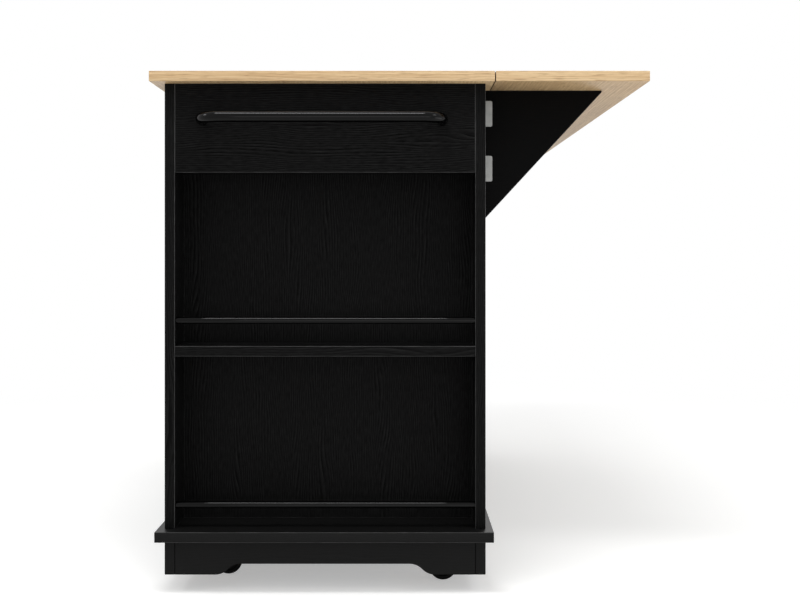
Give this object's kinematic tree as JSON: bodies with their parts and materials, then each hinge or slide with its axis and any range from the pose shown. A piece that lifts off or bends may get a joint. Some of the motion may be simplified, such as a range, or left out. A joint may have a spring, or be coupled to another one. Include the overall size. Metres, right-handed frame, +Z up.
{
  "type": "kitchen island",
  "caption": "Kitchen island with a drop leaf on folding supports, drawers above doors, an open end rack with guard rails, a towel bar and a shaped plinth that hides casters.",
  "frame": {"origin": "on the floor, under the middle of the whole island with its leaf raised, its handles and its towel bar counted", "axes": "+Z up; +Y along the island from the open rack to the far end; +X from the doors to the drop leaf"},
  "size_m": [0.878, 1.3846, 0.914],
  "materials": {
    "oak_laminate": "oak foil on board, satin",
    "black_board": "black wood-grain foil on board, satin",
    "black_enamel": "black enamel, gloss",
    "bright_zinc": "bright zinc plate, satin",
    "drawer_board": "clear lacquer, satin",
    "raw_wood": "unfinished pine",
    "black_plastic": "moulded, matte"
  },
  "bodies": {
    "cabinet": {"worktop": "oak_laminate", "base_plate": "black_board", "rack_side_board": "black_board", "near_end_wall": "black_board", "far_end_wall": "black_board", "back_panel": "black_board", "centre_partition": "black_board", "drawer_rails": "black_board", "cabinet_shelves": "black_board", "shelf_pins": "bright_zinc", "fascia_panel": "black_board", "towel_bar": "black_enamel", "rack_shelf": "black_board", "upper_guard_rail": "black_enamel", "lower_guard_rail": "black_enamel", "plinth_ends": "black_board", "plinth_sides": "black_board", "caster_blocks": "raw_wood", "caster_plates": "black_enamel", "runner_channels": "bright_zinc", "leaf_hinge_frames": "bright_zinc", "support_hinge_frames": "bright_zinc", "door_hinge_frames": "bright_zinc", "hinge_pins": "bright_zinc", "cabinet_screws": "bright_zinc", "door_catches": "black_plastic"},
    "leaf": {"drop_leaf": "oak_laminate", "leaf_hinge_flaps": "bright_zinc"},
    "near_support_board": {"near_support": "black_board", "near_support_flaps": "bright_zinc"},
    "far_support_board": {"far_support": "black_board", "far_support_flaps": "bright_zinc"},
    "near_drawer": {"near_drawer_front": "black_board", "near_drawer_box": "drawer_board", "near_drawer_bottom": "drawer_board", "near_drawer_handle": "black_enamel", "near_drawer_slides": "bright_zinc"},
    "far_drawer": {"far_drawer_front": "black_board", "far_drawer_box": "drawer_board", "far_drawer_bottom": "drawer_board", "far_drawer_handle": "black_enamel", "far_drawer_slides": "bright_zinc"},
    "near_door_leaf": {"near_door": "black_board", "near_door_handle": "black_enamel", "near_door_flaps": "bright_zinc"},
    "far_door_leaf": {"far_door": "black_board", "far_door_handle": "black_enamel", "far_door_flaps": "bright_zinc"},
    "near_front_swivel": {"near_front_fork": "black_enamel", "near_front_axle": "bright_zinc"},
    "near_front_roller": {"near_front_wheel": "black_plastic"},
    "near_back_swivel": {"near_back_fork": "black_enamel", "near_back_axle": "bright_zinc"},
    "near_back_roller": {"near_back_wheel": "black_plastic"},
    "far_front_swivel": {"far_front_fork": "black_enamel", "far_front_axle": "bright_zinc"},
    "far_front_roller": {"far_front_wheel": "black_plastic"},
    "far_back_swivel": {"far_back_fork": "black_enamel", "far_back_axle": "bright_zinc"},
    "far_back_roller": {"far_back_wheel": "black_plastic"}
  },
  "joints": [
    {"name": "leaf_hinge", "type": "hinge", "parent": "cabinet", "child": "leaf", "pos_m": [0.17075, 0.01725, 0.8932], "axis": [0, -1, 0], "range_deg": [0, 4]},
    {"name": "near_support_hinge", "type": "hinge", "parent": "cabinet", "child": "near_support_board", "pos_m": [0.1585, -0.54375, 0.80275], "axis": [0, 0, 1], "range_deg": [0, 90]},
    {"name": "far_support_hinge", "type": "hinge", "parent": "cabinet", "child": "far_support_board", "pos_m": [0.1585, 0.57825, 0.80275], "axis": [0, 0, -1], "range_deg": [0, 90]},
    {"name": "near_drawer_slide", "type": "slide", "parent": "cabinet", "child": "near_drawer", "axis": [-1, 0, 0], "range_m": [0, 0.33]},
    {"name": "far_drawer_slide", "type": "slide", "parent": "cabinet", "child": "far_drawer", "axis": [-1, 0, 0], "range_m": [0, 0.33]},
    {"name": "near_door_hinge", "type": "hinge", "parent": "cabinet", "child": "near_door_leaf", "pos_m": [-0.4118, -0.53525, 0.427], "axis": [0, 0, 1], "range_deg": [0, 110]},
    {"name": "far_door_hinge", "type": "hinge", "parent": "cabinet", "child": "far_door_leaf", "pos_m": [-0.4118, 0.64775, 0.427], "axis": [0, 0, -1], "range_deg": [0, 110]},
    {"name": "near_front_turn", "type": "hinge", "parent": "cabinet", "child": "near_front_swivel", "pos_m": [-0.3325, -0.51415, 0.063], "axis": [0, 0, 1], "continuous": true},
    {"name": "near_back_turn", "type": "hinge", "parent": "cabinet", "child": "near_back_swivel", "pos_m": [0.0657, -0.54975, 0.063], "axis": [0, 0, 1], "continuous": true},
    {"name": "far_front_turn", "type": "hinge", "parent": "cabinet", "child": "far_front_swivel", "pos_m": [-0.3325, 0.54865, 0.063], "axis": [0, 0, 1], "continuous": true},
    {"name": "far_back_turn", "type": "hinge", "parent": "cabinet", "child": "far_back_swivel", "pos_m": [0.0657, 0.58425, 0.063], "axis": [0, 0, 1], "continuous": true},
    {"name": "near_front_roll", "type": "hinge", "parent": "near_front_swivel", "child": "near_front_roller", "pos_m": [-0.3145, -0.51415, 0.025], "axis": [0, 1, 0], "continuous": true},
    {"name": "near_back_roll", "type": "hinge", "parent": "near_back_swivel", "child": "near_back_roller", "pos_m": [0.0837, -0.54975, 0.025], "axis": [0, 1, 0], "continuous": true},
    {"name": "far_front_roll", "type": "hinge", "parent": "far_front_swivel", "child": "far_front_roller", "pos_m": [-0.3145, 0.54865, 0.025], "axis": [0, 1, 0], "continuous": true},
    {"name": "far_back_roll", "type": "hinge", "parent": "far_back_swivel", "child": "far_back_roller", "pos_m": [0.0837, 0.58425, 0.025], "axis": [0, 1, 0], "continuous": true}
  ]
}
